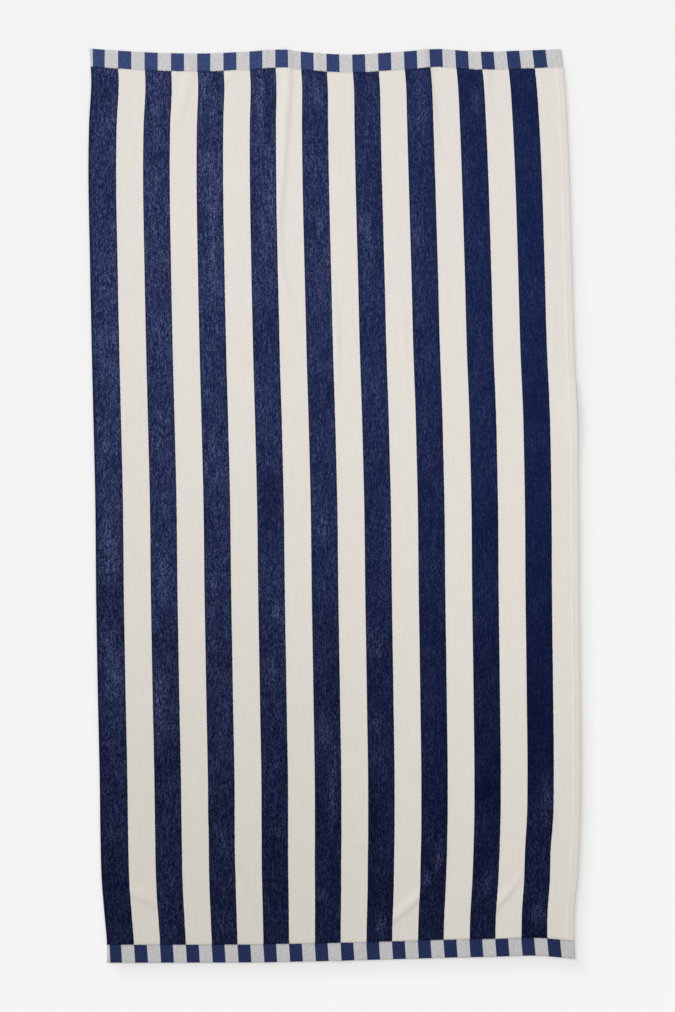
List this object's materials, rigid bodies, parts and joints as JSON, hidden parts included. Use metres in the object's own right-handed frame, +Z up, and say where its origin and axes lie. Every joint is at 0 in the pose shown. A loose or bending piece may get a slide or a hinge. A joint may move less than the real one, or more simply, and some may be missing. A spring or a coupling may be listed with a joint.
{
  "type": "beach towel",
  "caption": "Flat rectangular striped cotton beach towel with flat-woven checked end bands and narrow side hems, laid out face up with low folds.",
  "frame": {"origin": "middle of the towel's outline, on the surface that it lies on", "axes": "+Y along the towel's length towards the end that is at the top of the picture, +X across its width, +Z up through its thickness"},
  "size_m": [0.9174, 1.702, 0.0076],
  "materials": {
    "cotton_cloth": "short cotton pile in navy and cream stripes, with flat-woven blue and pale grey blocks at the ends"
  },
  "bodies": {
    "root": {"towel": "cotton_cloth"}
  },
  "joints": []
}
